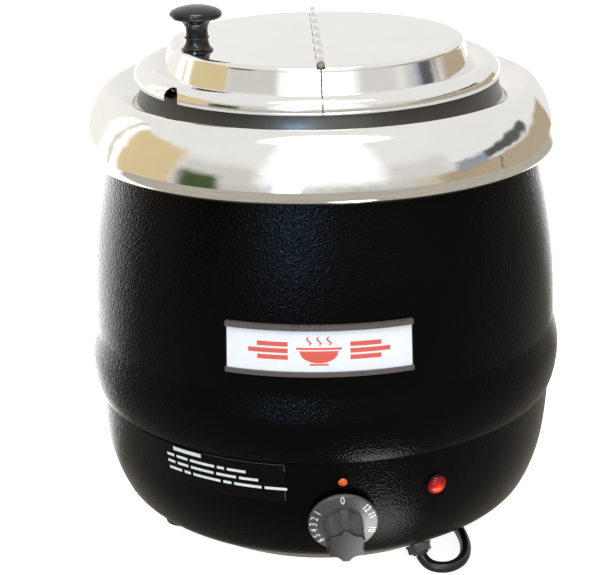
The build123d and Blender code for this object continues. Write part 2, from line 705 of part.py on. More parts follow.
def plug_body():
    """A moulded plug that narrows to a strain relief where the cord goes in."""
    body = loft([
        Pos(0, 0, 0) * RectangleRounded(27.0, 22.0, 6.0),
        Pos(0, 0, 16) * RectangleRounded(26.0, 21.0, 6.0),
        Pos(0, 0, 25) * RectangleRounded(17.0, 15.0, 6.0),
        Pos(0, 0, 30) * RectangleRounded(11.0, 11.0, 5.4),
    ])
    relief = Pos(0, 0, 30) * Cone(5.2, 4.0, 14, align=(Align.CENTER, Align.CENTER, Align.MIN))
    return plug_place() * (body + relief)


def plug_pins():
    """Two flat blades and a round earth pin."""
    upright = (Align.CENTER, Align.CENTER, Align.MIN)
    blade = Pos(0, -2.5, -17.4) * Box(1.5, 6.3, 17.4, align=upright)
    pins = [Pos(side * 6.35, 0, 0) * blade for side in (-1, 1)]
    pins.append(Pos(0, 6.2, 0) * rod(2.4, -20.0, 0))
    return [plug_place() * pin for pin in pins]


def plug_place():
    """The plug lies beside the coil with its pins towards the kettle's front."""
    return Pos(PLUG_X, PLUG_Y - 44, PLUG_HEIGHT) * Rot(-90, 0, 0)


# Ring, pot and lid

def adaptor_ring():
    """The polished ring: a neck, a bulging brim and, below, a skirt that drops into the pan."""
    shell = turned(RING_OUTLINE, SHEET)
    skirt = tube(128.9, 127.6, 296.0, 319.6)
    seat = tube(143.0, 128.0, CASING_TOP + PAN_SHEET + 0.3, CASING_TOP + PAN_SHEET + 1.5)
    return shell + skirt + seat


def soup_pot():
    vessel = drawn_vessel(POT_RADIUS, POT_BOTTOM, POT_RIM_HEIGHT, POT_SHEET, POT_CORNER)
    rim = Pos(0, 0, POT_RIM_HEIGHT) * Torus(POT_RIM_RADIUS, POT_RIM_WIRE)
    return vessel + rim


def on_ring(piece):
    """A piece of the lid moved from the kettle's axis to where the lid lies on the ring."""
    return Pos(LID_SHIFT, 0, 0) * Rot(0, 0, -LID_TURN) * piece


def lid_shell():
    return turned(LID_OUTLINE, LID_SHEET)


def lid_side(side):
    """The space that one half of the lid takes: side -1 is the flip half."""
    reach = 140.0
    half = Box(reach, 2 * reach, 60, align=(Align.MIN, Align.CENTER, Align.MAX))
    half = Pos(SPLIT_HALF, 0, LID_TOP + 5) * half
    slot = Box(HINGE_SLOT, HINGE_LENGTH + 3, 12, align=(Align.MIN, Align.CENTER, Align.CENTER))
    half -= Pos(0, 0, LID_TOP) * slot
    return half if side > 0 else Rot(0, 0, 180) * half


def lid_fixed_half():
    return on_ring(lid_shell() & lid_side(1))


def lid_flip_half():
    """The half that lifts, with a ladle notch in its rim, a slit at the wall's foot, a knob hole."""
    half = lid_shell() & lid_side(-1)
    half -= Pos(KNOB_X, KNOB_Y, LID_TOP) * rod(2.1, -3, 3)
    notch = Pos(*round_place(NOTCH_AZIMUTH, 126.0, 331.0)) * Rot(0, 0, NOTCH_AZIMUTH)
    arch = Box(14.5, 16.0, 12.0, align=(Align.CENTER, Align.CENTER, Align.MIN))
    arch = fillet(arch.edges().filter_by(Axis.Y).group_by(Axis.Z)[-1], 6.6)
    half -= notch * arch
    slit = Pos(*round_place(SLIT_AZIMUTH, 109.6, 340.5)) * Rot(0, 0, SLIT_AZIMUTH)
    return on_ring(half - slit * Box(15.0, 3.4, 1.4))


def knuckle_spans(side):
    """The stretches of the barrel, along Y, that belong to one half of the lid."""
    pitch = HINGE_LENGTH / HINGE_KNUCKLES
    first = 0 if side > 0 else 1
    spans = []
    for i in range(first, HINGE_KNUCKLES, 2):
        low = -HINGE_LENGTH / 2 + i * pitch
        spans.append((low + KNUCKLE_GAP / 2, low + pitch - KNUCKLE_GAP / 2))
    return spans


def hinge_leaf(side):
    """A leaf under the lid with the knuckles that stand up through the slot."""
    low = LID_TOP - LID_SHEET - 0.8
    corner = (Align.MIN, Align.CENTER, Align.MIN)
    leaf = Pos(HINGE_SLOT + 0.05, 0, low) * Box(LEAF_WIDTH, 192, 0.8, align=corner)
    for start, end in knuckle_spans(1 if side > 0 else -1):
        middle = (start + end) / 2
        width = end - start
        along = Pos(0, middle, HINGE_HEIGHT) * Rot(90, 0, 0)
        tab_width = min(width, 2 * (96 - abs(middle)))
        if tab_width > 2:
            tab = Pos(1.6, middle, low) * Box(2.0, tab_width, 0.8, align=corner)
            leaf += tab
            leaf += Pos(1.6, middle, low) * Box(0.8, tab_width, HINGE_HEIGHT - low, align=corner)
        leaf += along * rod(HINGE_RADIUS, -width / 2, width / 2)
    leaf -= Pos(0, 0, HINGE_HEIGHT) * Rot(90, 0, 0) * rod(HINGE_BORE, -120, 120)
    return on_ring(leaf if side > 0 else mirror(leaf, Plane.YZ))


def hinge_pin():
    pin = Rot(90, 0, 0) * rod(HINGE_PIN_RADIUS, -101.3, 101.3)
    return on_ring(Pos(0, 0, HINGE_HEIGHT) * pin)


def lid_knob():
    """A turned knob: a flared foot, a waisted stem with a ring and a mushroom cap."""
    stem = [
        [(0, 0), (11.0, 0)],
        [(11.0, 0), (11.0, 0.9)],
        [(11.0, 0.9), (9.6, 2.1), (8.5, 4.3), (7.9, 8.1)],
        [(7.9, 8.1), (8.6, 9.1), (7.9, 10.1)],
        [(7.9, 10.1), (7.7, 13.1), (8.3, 16.9), (10.3, 19.9), (14.5, 21.8)],
        [(14.5, 21.8), (17.4, 22.8), (18.05, 24.5), (17.3, 26.3), (13.3, 28.7), (7.6, 30.2),
         (0.0, 30.8)],
        [(0.0, 30.8), (0, 0)],
    ]
    edges = [edge for section in stem for edge in curve(section).edges()]
    knob = revolve(Face(Wire(edges)), Axis.Z)
    knob -= rod(2.05, -1, 14)
    return on_ring(Pos(KNOB_X, KNOB_Y, LID_TOP) * knob)


def lid_knob_screw():
    one = Rot(180, 0, 0) * screw(4.2, 2.2, 2.0, 13.0)
    washer = tube(5.5, 2.05, -0.8, -0.02)
    place = Pos(KNOB_X, KNOB_Y, LID_TOP - LID_SHEET)
    return [on_ring(place * Pos(0, 0, -0.8) * one), on_ring(place * washer)]


def write(name, shape):
    """Writes one node: a single solid, or a group of separate ones."""
    shape = Compound(shape) if isinstance(shape, list) else shape
    export_step(shape, os.path.join("parts", name + ".step"))


def main():
    os.makedirs("parts", exist_ok=True)
    makers = [
        upper_casing, base_casing, base_plate, plate_screws, foot_screws, water_pan,
        heater_element, heater_clamp_plate, tie_rod, tie_rod_nuts, thermostat_body,
        thermostat_screws, thermostat_shaft, thermostat_bulb, bulb_clip, capillary_tube,
        control_knob, pilot_lamp_lens, pilot_lamp_body, pilot_lamp_nut, index_marker,
        sign_holder, sign_card, sign_rivets, safety_label, terminal_block, earth_stud,
        live_wire, neutral_wire, earth_wire, switched_wire, heater_wires, lamp_wires,
        cord_gland, cord_gland_nut, supply_cord, cord_coil, cord_tie, plug_body, plug_pins,
        adaptor_ring, soup_pot, lid_fixed_half, lid_flip_half, hinge_pin, lid_knob,
        lid_knob_screw,
    ]
    for maker in makers:
        write(maker.__name__, maker())
    for number, azimuth in enumerate(FOOT_AZIMUTHS, 1):
        write(f"rubber_foot_{number}", rubber_foot(azimuth))
    write("fixed_hinge_leaf", hinge_leaf(1))
    write("flip_hinge_leaf", hinge_leaf(-1))


main()
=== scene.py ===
"""A buffet soup kettle: its looks, print and mains cord, around its CAD frame."""

import json
from math import atan2, cos, degrees, pi, radians, sin, sqrt, tan

import bmesh
import bpy
from mathutils import Matrix, Vector


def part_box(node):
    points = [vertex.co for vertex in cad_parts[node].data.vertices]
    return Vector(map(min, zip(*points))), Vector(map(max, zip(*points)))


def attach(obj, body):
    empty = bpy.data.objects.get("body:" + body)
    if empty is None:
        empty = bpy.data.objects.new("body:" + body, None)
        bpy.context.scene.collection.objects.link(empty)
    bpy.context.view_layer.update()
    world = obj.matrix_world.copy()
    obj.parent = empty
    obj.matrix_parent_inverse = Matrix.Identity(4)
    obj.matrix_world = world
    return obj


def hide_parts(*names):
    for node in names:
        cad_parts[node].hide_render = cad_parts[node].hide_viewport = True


MM = 0.001
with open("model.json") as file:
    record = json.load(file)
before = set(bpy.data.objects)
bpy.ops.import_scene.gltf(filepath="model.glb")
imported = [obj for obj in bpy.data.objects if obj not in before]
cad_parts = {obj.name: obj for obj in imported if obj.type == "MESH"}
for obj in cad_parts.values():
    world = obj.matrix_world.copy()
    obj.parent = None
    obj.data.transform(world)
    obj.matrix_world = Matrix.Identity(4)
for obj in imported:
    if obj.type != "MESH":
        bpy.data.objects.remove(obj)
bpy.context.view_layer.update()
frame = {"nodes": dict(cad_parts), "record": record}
nodes = frame["nodes"]
record = frame["record"]
scene = bpy.context.scene


# Camera

CAMERA_PLACE = (-0.0696, -1.0477, 0.561)
CAMERA_HEADING = radians(2.88)
CAMERA_PITCH = radians(20.39)
CAMERA_ROLL = radians(-1.30)
CAMERA_LENS, CAMERA_SENSOR = 90, 36


def make_camera():
    """A 90 mm lens about a metre in front of the kettle, looking down about 20 degrees."""
    ahead = Vector((sin(CAMERA_HEADING) * cos(CAMERA_PITCH), cos(CAMERA_HEADING) * cos(CAMERA_PITCH),
                    -sin(CAMERA_PITCH)))
    right = Vector((cos(CAMERA_HEADING), -sin(CAMERA_HEADING), 0))
    up = right.cross(ahead)
    turned_right = cos(CAMERA_ROLL) * right + sin(CAMERA_ROLL) * up
    turned_up = cos(CAMERA_ROLL) * up - sin(CAMERA_ROLL) * right
    data = bpy.data.cameras.new("camera")
    data.lens, data.sensor_width = CAMERA_LENS, CAMERA_SENSOR
    camera = bpy.data.objects.new("camera", data)
    scene.collection.objects.link(camera)
    turn = Matrix((turned_right, turned_up, -ahead)).transposed().to_4x4()
    camera.matrix_world = Matrix.Translation(CAMERA_PLACE) @ turn
    scene.camera = camera


make_camera()


# Node tree helpers

class Tree:
    """Adds and links the nodes of one node tree."""

    def __init__(self, tree):
        self.tree = tree

    def add(self, kind, **values):
        """A new node. What isn't one of its settings is the value of the input of that name."""
        node = self.tree.nodes.new(kind)
        for key, value in values.items():
            if hasattr(node, key):
                setattr(node, key, value)
            else:
                node.inputs[key.replace("_", " ")].default_value = value
        return node

    def link(self, source, target):
        self.tree.links.new(source, target)

    def put(self, value, socket):
        """Gives a socket a colour, a number or the output that feeds it."""
        if isinstance(value, tuple):
            socket.default_value = (*value, 1)
        elif isinstance(value, (int, float)):
            socket.default_value = value
        else:
            self.link(value, socket)

    def math(self, operation, first, second=0.0):
        node = self.add("ShaderNodeMath", operation=operation)
        self.put(first, node.inputs[0])
        self.put(second, node.inputs[1])
        return node.outputs[0]

    def smooth(self, source, start, end):
        """A smooth rise from 0 at start to 1 at end."""
        node = self.add("ShaderNodeMapRange", interpolation_type="SMOOTHSTEP")
        node.inputs["From Min"].default_value = start
        node.inputs["From Max"].default_value = end
        self.link(source, node.inputs["Value"])
        return node.outputs["Result"]

    def band(self, source, start, end, edge):
        """1 between start and end and 0 outside them, with soft edges."""
        return self.math("MULTIPLY", self.smooth(source, start - edge, start + edge),
                         self.math("SUBTRACT", 1.0, self.smooth(source, end - edge, end + edge)))

    def mix(self, share, first, second):
        """A blend of two colours."""
        node = self.add("ShaderNodeMix", data_type="RGBA")
        for index, value in zip((0, 6, 7), (share, first, second)):
            self.put(value, node.inputs[index])
        return node.outputs[2]

    def mix_numbers(self, share, first, second):
        node = self.add("ShaderNodeMix", data_type="FLOAT")
        for index, value in zip((0, 2, 3), (share, first, second)):
            self.put(value, node.inputs[index])
        return node.outputs[0]


class Nodes(Tree):
    """One material's node tree, with its shader."""

    def __init__(self, name):
        self.material = bpy.data.materials.new(name)
        self.material.use_nodes = True
        super().__init__(self.material.node_tree)
        self.shader = self.tree.nodes["Principled BSDF"]

    def set(self, **values):
        for key, value in values.items():
            self.put(value, self.shader.inputs[key.replace("_", " ")])

    def position(self):
        return self.add("ShaderNodeTexCoord").outputs["Object"]

    def axes(self):
        """The three outputs of the place on the object, in metres."""
        parts = self.add("ShaderNodeSeparateXYZ")
        self.link(self.position(), parts.inputs[0])
        return parts.outputs

    def noise(self, scale, detail=2.0, roughness=0.5, stretch=None):
        node = self.add("ShaderNodeTexNoise", Scale=scale, Detail=detail, Roughness=roughness)
        self.link(self.stretched(stretch), node.inputs["Vector"])
        return node.outputs["Fac"]

    def stretched(self, stretch):
        if stretch is None:
            return self.position()
        node = self.add("ShaderNodeMapping")
        node.inputs["Scale"].default_value = stretch
        self.link(self.position(), node.inputs["Vector"])
        return node.outputs["Vector"]

    def cells(self, scale, feature="SMOOTH_F1"):
        node = self.add("ShaderNodeTexVoronoi", feature=feature, Scale=scale)
        self.link(self.position(), node.inputs["Vector"])
        return node.outputs["Distance"]

    def span(self, source, low, high, start=0.0, end=1.0):
        """A straight change from low to high as the source goes from start to end."""
        node = self.add("ShaderNodeMapRange")
        node.inputs["From Min"].default_value = start
        node.inputs["From Max"].default_value = end
        node.inputs["To Min"].default_value = low
        node.inputs["To Max"].default_value = high
        self.link(source, node.inputs["Value"])
        return node.outputs["Result"]

    def ramp(self, source, *stops):
        node = self.add("ShaderNodeValToRGB")
        elements = node.color_ramp.elements
        while len(elements) < len(stops):
            elements.new(0.5)
        for element, (place, colour) in zip(elements, stops):
            element.position = place
            element.color = (*colour, 1)
        self.link(source, node.inputs["Fac"])
        return node.outputs["Color"]

    def bump(self, height, strength, distance):
        node = self.add("ShaderNodeBump", Strength=strength, Distance=distance)
        self.link(height, node.inputs["Height"])
        self.link(node.outputs["Normal"], self.shader.inputs["Normal"])

    def feed(self, source, socket):
        self.link(source, self.shader.inputs[socket])

    def fed(self, socket):
        """The output that feeds one of the shader's sockets."""
        return self.shader.inputs[socket].links[0].from_socket


def node_middle(name):
    """The middle of one CAD node's box, in metres."""
    low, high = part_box(name)
    return [(a + b) / 2 for a, b in zip(low, high)]


def joint_axis(name):
    """The direction of one joint's axis in the record."""
    return next(joint["axis"] for joint in record["behaviour"]["joints"] if joint["name"] == name)


# Materials

def hammered_black():
    """Glossy black powder coat with soft pebbles a millimetre or two across."""
    n = Nodes("hammered_black")
    n.set(Base_Color=(0.0016, 0.0016, 0.0018), IOR=1.5, Specular_IOR_Level=0.07)
    pebbles = n.cells(640)
    swell = n.noise(620, detail=1.5)
    height = n.math("ADD", pebbles, n.math("MULTIPLY", swell, 1.4))
    n.bump(height, 0.34, 0.0007)
    n.feed(n.span(n.noise(26, detail=4), 0.12, 0.22), "Roughness")
    return n.material


def polished(name, tint=(0.9, 0.893, 0.88), low=0.035, high=0.1, lines=0.02):
    """The nodes of polished stainless steel, with faint polishing lines and handling marks."""
    n = Nodes(name)
    n.set(Metallic=1.0)
    smudges = n.noise(34, detail=5, roughness=0.6)
    n.feed(n.ramp(smudges, (0.3, tuple(0.96 * c for c in tint)), (0.75, tint)), "Base Color")
    n.feed(n.span(smudges, low, high, 0.35, 0.7), "Roughness")
    brushed = n.noise(900, detail=2, stretch=(0.05, 1.0, 1.0))
    n.bump(brushed, lines, 0.0002)
    return n


def mirror_steel(name, **looks):
    return polished(name, **looks).material


NECK_RADIUS = 0.1290
NECK_EDGE = 0.0012               # how far outside that radius the shade fades out
NECK_LOW = 0.3165
NECK_FADE = 0.002                # how far above that height the shade is whole
NECK_TALL = 0.018
NECK_SHARE = 0.93
NECK_ROUGHNESS = 0.32


def ring_steel():
    """The ring's mirror polish, with painted shade on the neck under the lid's flange, where the metal is
    also rougher.

    The neck's painted shade belongs to its place on the ring, so it stays when the lid is lifted off.
    """
    n = polished("ring_steel")
    x, y, z = n.axes()
    across = n.math("ADD", n.math("POWER", x, 2.0), n.math("POWER", y, 2.0))
    radius = n.math("SQRT", across)
    inside = n.span(radius, 1.0, 0.0, NECK_RADIUS, NECK_RADIUS + NECK_EDGE)
    above = n.span(z, 0.0, 1.0, NECK_LOW, NECK_LOW + NECK_FADE)
    share = n.math("MULTIPLY", n.math("MULTIPLY", inside, above), NECK_SHARE)
    rise = n.span(z, 1.0, 0.0, NECK_LOW, NECK_LOW + NECK_TALL)
    tone = n.math("ADD", n.math("MULTIPLY", n.noise(60, detail=3), 0.3),
                  n.math("MULTIPLY", rise, 0.7))
    # Painted shade: dark olive on the neck, darkest towards its top under the flange.
    painted_neck_shade = n.ramp(tone, (0.2, (0.008, 0.007, 0.005)), (0.6, (0.035, 0.031, 0.02)),
                  (0.95, (0.09, 0.08, 0.055)))
    n.feed(n.mix(share, n.fed("Base Color"), painted_neck_shade), "Base Color")
    n.feed(n.mix_numbers(share, n.fed("Roughness"), NECK_ROUGHNESS), "Roughness")
    return n.material


def satin_steel(name, tint, low=0.25, high=0.42, stretch=(1, 1, 12)):
    """Unpolished metal with a fine grain."""
    n = Nodes(name)
    n.set(Metallic=1.0)
    grain = n.noise(420, detail=3, stretch=stretch)
    n.feed(n.ramp(grain, (0.3, tuple(0.82 * c for c in tint)), (0.7, tint)), "Base Color")
    n.feed(n.span(grain, low, high), "Roughness")
    n.bump(grain, 0.12, 0.0002)
    return n.material


def plastic(name, colour, low, high, grain=900, depth=0.05, specular=0.5, spread=0.12):
    """A moulded plastic or rubber skin with a fine grain and slightly uneven gloss."""
    n = Nodes(name)
    n.set(Specular_IOR_Level=specular)
    patches = n.noise(55, detail=4)
    dark = tuple(c * (1 - spread) for c in colour)
    n.feed(n.ramp(patches, (0.3, dark), (0.7, colour)), "Base Color")
    n.feed(n.span(patches, low, high, 0.3, 0.7), "Roughness")
    n.bump(n.noise(grain, detail=2), depth, 0.0002)
    return n.material


GLOW_RIGHT, GLOW_UP = 0.0008, -0.0014    # from the lens's middle to the middle of its glow
GLOW_RAGGED = 0.0022
GLOW_REACH = 0.009


def lamp_red():
    """Clear red plastic with a painted glow: orange low in the middle, fading to dark red round its edge.
    """
    n = Nodes("lamp_red")
    n.set(Roughness=0.05, IOR=1.49, Specular_IOR_Level=0.22)
    x, _, z = n.axes()
    middle = node_middle("pilot_lamp_lens")
    across = n.math("POWER", n.math("SUBTRACT", x, middle[0] + GLOW_RIGHT), 2.0)
    up = n.math("POWER", n.math("SUBTRACT", z, middle[2] + GLOW_UP), 2.0)
    spread = n.math("SQRT", n.math("ADD", across, up))
    ragged = n.math("ADD", spread, n.math("MULTIPLY", n.noise(700, detail=2), GLOW_RAGGED))
    # The base colour is painted glow, brightest at the glow's middle and dark red at the lens's edge.
    n.feed(n.ramp(n.span(ragged, 0.0, 1.0, 0.0, GLOW_REACH),
                  (0.16, (1.0, 0.2, 0.03)), (0.36, (0.75, 0.03, 0.008)),
                  (0.62, (0.42, 0.008, 0.006)), (0.95, (0.12, 0.002, 0.003))), "Base Color")
    n.bump(n.cells(420, "F1"), 0.2, 0.0005)
    return n.material


GRIP_SHEEN_DEPTH, GRIP_SHADE_DEPTH = 0.0022, 0.0012    # depths behind the grip's front: beyond the first the painted sheen is whole, within the second the painted shade is whole


def dial_plastic():
    """Hard black plastic, with a painted sheen of lighter grey on the flutes and skirt and painted shade,
    darker, on the front of the grip.
    """
    n = Nodes("dial_plastic")
    n.set(Specular_IOR_Level=0.6)
    outward = n.add("ShaderNodeVectorMath", operation="DOT_PRODUCT")
    n.link(n.position(), outward.inputs[0])
    axis = Vector(joint_axis("dial_turn"))
    outward.inputs[1].default_value = axis
    front = max(axis.dot(vertex.co) for vertex in nodes["control_knob"].data.vertices)
    # The front of the grip gets painted shade; the flutes and skirt behind it get a painted sheen of
    # lighter grey.
    face = n.span(outward.outputs["Value"], 0.0, 1.0, front - GRIP_SHEEN_DEPTH, front - GRIP_SHADE_DEPTH)
    wear = n.noise(900, detail=3)
    painted_sheen = n.ramp(wear, (0.35, (0.06, 0.057, 0.053)), (0.7, (0.1, 0.095, 0.088)))
    dark = n.ramp(wear, (0.35, (0.008, 0.008, 0.008)), (0.7, (0.02, 0.02, 0.02)))
    n.feed(n.mix(face, painted_sheen, dark), "Base Color")
    n.feed(n.span(wear, 0.24, 0.4), "Roughness")
    n.bump(wear, 0.1, 0.0002)
    return n.material


BLACK = hammered_black()
MIRROR = mirror_steel("mirror_steel")
RING_STEEL = ring_steel()
# The fixed hinge leaf's darker tint is painted shade, for the dark gaps beside the knuckles.
SHADED_HINGE_STEEL = mirror_steel("hinge_steel_painted_shade", tint=(0.6, 0.59, 0.57))
LID_STEEL = mirror_steel("lid_steel", low=0.06, high=0.13, lines=0.05)
DRAWN = satin_steel("drawn_steel", (0.78, 0.77, 0.75), 0.14, 0.26)
ZINC = satin_steel("zinc_sheet", (0.66, 0.67, 0.68), 0.3, 0.5, (1, 1, 1))
FIXING = satin_steel("fixing_steel", (0.7, 0.7, 0.69), 0.2, 0.34, (1, 1, 1))
SHEATH = satin_steel("heater_sheath", (0.34, 0.31, 0.29), 0.4, 0.6, (1, 1, 1))
COPPER = satin_steel("copper", (0.75, 0.42, 0.28), 0.22, 0.4, (1, 1, 1))
BRASS = satin_steel("plug_brass", (0.8, 0.68, 0.4), 0.2, 0.34, (1, 1, 1))
DIAL_BLACK = dial_plastic()
KNOB_BLACK = plastic("knob_black", (0.006, 0.006, 0.006), 0.1, 0.18, 500, 0.02)
GLAND_BLACK = plastic("gland_black", (0.02, 0.02, 0.021), 0.12, 0.2, specular=1.0)
FOOT_RUBBER = plastic("foot_rubber", (0.02, 0.02, 0.02), 0.6, 0.75, 1400, 0.15)
CORD_RUBBER = plastic("cord_rubber", (0.008, 0.008, 0.009), 0.24, 0.36, 1100, 0.06)
MARKER = plastic("marker_orange", (0.78, 0.13, 0.012), 0.2, 0.3)
SIGN_RAIL = plastic("sign_rail", (0.12, 0.1, 0.095), 0.25, 0.38)
CARD = plastic("card_white", (0.97, 0.965, 0.96), 0.4, 0.55, 700, 0.04, spread=0.03)
PRINT_RED = plastic("print_red", (0.86, 0.13, 0.085), 0.45, 0.6, 700, 0.04, spread=0.06)
LABEL_FILM = plastic("label_film", (0.002, 0.002, 0.002), 0.25, 0.35, 600, 0.05, 0.1)
PRINT_WHITE = plastic("print_white", (0.9, 0.9, 0.88), 0.4, 0.55, 700, 0.05, spread=0.08)
LABEL_EDGE = plastic("label_edge", (0.09, 0.09, 0.09), 0.3, 0.4, 700, 0.05)
CERAMIC = plastic("ceramic_cream", (0.72, 0.68, 0.6), 0.35, 0.5)
BROWN = plastic("wire_brown", (0.16, 0.07, 0.03), 0.35, 0.5)
BLUE = plastic("wire_blue", (0.04, 0.1, 0.42), 0.35, 0.5)
GREEN = plastic("wire_green", (0.2, 0.42, 0.06), 0.35, 0.5)
SLEEVE = plastic("wire_sleeve", (0.75, 0.73, 0.68), 0.6, 0.8, 1500, 0.3)
LAMP = lamp_red()

NODE_MATERIALS = {
    BLACK: "upper_casing base_casing",
    ZINC: "base_plate heater_clamp_plate bulb_clip",
    FIXING: "plate_screws foot_screws tie_rod tie_rod_nuts thermostat_screws thermostat_shaft "
            "sign_rivets earth_stud hinge_pin lid_knob_screw",
    FOOT_RUBBER: "rubber_foot_1 rubber_foot_2 rubber_foot_3 rubber_foot_4",
    DRAWN: "water_pan soup_pot",
    RING_STEEL: "adaptor_ring",
    MIRROR: "flip_hinge_leaf",
    SHADED_HINGE_STEEL: "fixed_hinge_leaf",
    LID_STEEL: "lid_fixed_half lid_flip_half",
    SHEATH: "heater_element",
    CERAMIC: "thermostat_body terminal_block",
    COPPER: "thermostat_bulb capillary_tube",
    DIAL_BLACK: "control_knob",
    KNOB_BLACK: "lid_knob",
    GLAND_BLACK: "pilot_lamp_body pilot_lamp_nut cord_gland cord_gland_nut cord_tie",
    LAMP: "pilot_lamp_lens",
    MARKER: "index_marker",
    SIGN_RAIL: "sign_holder",
    CARD: "sign_card",
    LABEL_FILM: "safety_label",
    BROWN: "live_wire switched_wire",
    BLUE: "neutral_wire",
    GREEN: "earth_wire",
    SLEEVE: "heater_wires lamp_wires",
    CORD_RUBBER: "supply_cord cord_coil plug_body",
    BRASS: "plug_pins",
}


SHARP_ANGLE = radians(30)


def paint(piece, material):
    piece.data.materials.clear()
    piece.data.materials.append(material)


for material, names in NODE_MATERIALS.items():
    for name in names.split():
        paint(nodes[name], material)
        nodes[name].data.shade_smooth()
        nodes[name].data.set_sharp_from_angle(angle=SHARP_ANGLE)


# Cord

CORD_DIAMETER = 8 * MM
CORD_START = (58.85, -120.66, 10.08)
CORD_ROUTE = [
    (61.2, -124.2, 6.0), (68.0, -128.8, 4.0), (78.6, -129.6, 4.0), (88.4, -121.6, 4.0),
    (93.6, -107.0, 4.0), (94.6, -89.0, 4.0), (91.0, -66.0, 4.0), (82.5, -37.0, 4.0),
    (70.0, -4.0, 4.0), (55.0, 30.0, 4.0), (40.0, 66.0, 4.0), (27.5, 106.0, 4.0),
    (18.5, 146.0, 4.0), (13.8, 184.0, 4.0), (12.5, 219.0, 4.7),
]
COIL_CENTRE = (-33.5, 236.0)
COIL_WIDE = 46.0
COIL_PITCH = 8.0
COIL_FLOOR = 4.9
COIL_TURNS = 3.5
TURN_POINTS = 16
COIL_CHANGE = 0.25               # the share of a turn in which the cord changes its track
COIL_ALLOWANCE = 1.013           # makes up for most of the 2% that the spline cuts inside its points
PLUG_ENTRY = (-79.5, 216.0, 11.4)


def coil_track(turn):
    """Radius and height of the cord after some turns: outer low, inner low, inner high, outer high."""
    whole = int(turn)
    share = max(0.0, (turn - whole - 1 + COIL_CHANGE) / COIL_CHANGE)
    swing = share * pi / 2
    outer_low = (COIL_WIDE - COIL_PITCH * share, COIL_FLOOR)
    inner = (outer_low[0] - COIL_PITCH * cos(swing), COIL_FLOOR + COIL_PITCH * sin(swing))
    high = (inner[0] + COIL_PITCH * sin(swing), inner[1] + COIL_PITCH * cos(swing))
    tracks = [outer_low, inner, high, (COIL_WIDE, COIL_FLOOR + COIL_PITCH)]
    return tracks[whole]


def coil_points():
    """The coil's control points, a little outside its turns."""
    points = []
    for i in range(int(COIL_TURNS * TURN_POINTS) + 1):
        turn = i / TURN_POINTS
        radius, height = coil_track(min(turn, COIL_TURNS))
        radius *= COIL_ALLOWANCE
        angle = turn * 2 * pi
        points.append((COIL_CENTRE[0] + radius * cos(angle), COIL_CENTRE[1] + radius * sin(angle),
                       height))
    return points


def make_cord():
    points = [CORD_START] + CORD_ROUTE + coil_points() + [PLUG_ENTRY]
    data = bpy.data.curves.new("mains_cord", "CURVE")
    data.dimensions = "3D"
    spline = data.splines.new("NURBS")
    spline.points.add(len(points) - 1)
    for target, point in zip(spline.points, points):
        target.co = (*(value * MM for value in point), 1)
    spline.order_u = 3
    spline.use_endpoint_u = True
    spline.resolution_u = 10
    data.bevel_depth = CORD_DIAMETER / 2
    data.bevel_resolution = 6
    data.use_fill_caps = True
    cord = bpy.data.objects.new("mains_cord", data)
    scene.collection.objects.link(cord)
    data.materials.append(CORD_RUBBER)
    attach(cord, "kettle")
    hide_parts("supply_cord", "cord_coil")


# Printed films, numerals and the coil's tie

def new_piece(name, mesh_data, material, body, smooth=False):
    mesh = bpy.data.meshes.new(name)
    mesh_data.normal_update()
    mesh_data.to_mesh(mesh)
    mesh_data.free()
    if smooth:
        mesh.shade_smooth()
    piece = bpy.data.objects.new(name, mesh)
    scene.collection.objects.link(piece)
    paint(piece, material)
    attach(piece, body)
    return piece


FILM_TOP, FILM_BOTTOM = 0.06, -0.02      # a printed film's faces, from the surface it lies on


def add_strip(bm, columns, place):
    """A thin closed film between two edges. A column is (x, y) of one edge, then of the other."""
    rows = []
    for x0, y0, x1, y1 in columns:
        corners = ((x0, y0, FILM_BOTTOM), (x0, y0, FILM_TOP), (x1, y1, FILM_TOP), (x1, y1, FILM_BOTTOM))
        rows.append([bm.verts.new(place(*corner)) for corner in corners])
    for first, second in zip(rows, rows[1:]):
        for i in range(4):
            j = (i + 1) % 4
            bm.faces.new((first[i], first[j], second[j], second[i]))
    bm.faces.new(rows[0])
    bm.faces.new(reversed(rows[-1]))


def add_bar(bm, x0, x1, y0, y1, place, steps=6):
    columns = []
    for i in range(steps + 1):
        x = x0 + (x1 - x0) * i / steps
        columns.append((x, y0, x, y1))
    add_strip(bm, columns, place)


def wall_point(azimuth, radius, height):
    """A point round the kettle's axis, in metres, its azimuth in degrees from the front."""
    turn = radians(azimuth)
    return Vector((radius * sin(turn), -radius * cos(turn), height)) * MM


SIGN_AZIMUTH = -4.8
CARD_LOW, CARD_HIGH = 175.6, 206.0
CARD_LOW_RADIUS, CARD_HIGH_RADIUS = 172.27, 170.17


def on_card(x, y, lift):
    """A point on the sign card: x along it from its middle, y up from its middle."""
    share = y / (CARD_HIGH - CARD_LOW) + 0.5
    radius = CARD_LOW_RADIUS + (CARD_HIGH_RADIUS - CARD_LOW_RADIUS) * share + lift
    return wall_point(SIGN_AZIMUTH + degrees(x / radius), radius, (CARD_LOW + CARD_HIGH) / 2 + y)


BOWL_HALF, BOWL_DEEP, BOWL_EDGE, BOWL_STEPS = 12.5, 7.6, 0.35, 24
BOWL_RIM = (-14.5, 14.5, 0.9, 2.3)
BOWL_FOOT = (-6.0, 6.0, -9.6, -8.4)
STEAM_MIDDLES = (-6.5, 0.0, 6.5)
STEAM_LOW, STEAM_TALL, STEAM_WAVE, STEAM_HALF, STEAM_STEPS = 3.6, 6.2, 1.1, 0.75, 16
RULES = ((20, 40, 4.4), (20, 40, -4.4), (20, 46, 0.0))     # near end, far end and height
RULE_HALF, RULE_STEPS = 1.5, 12


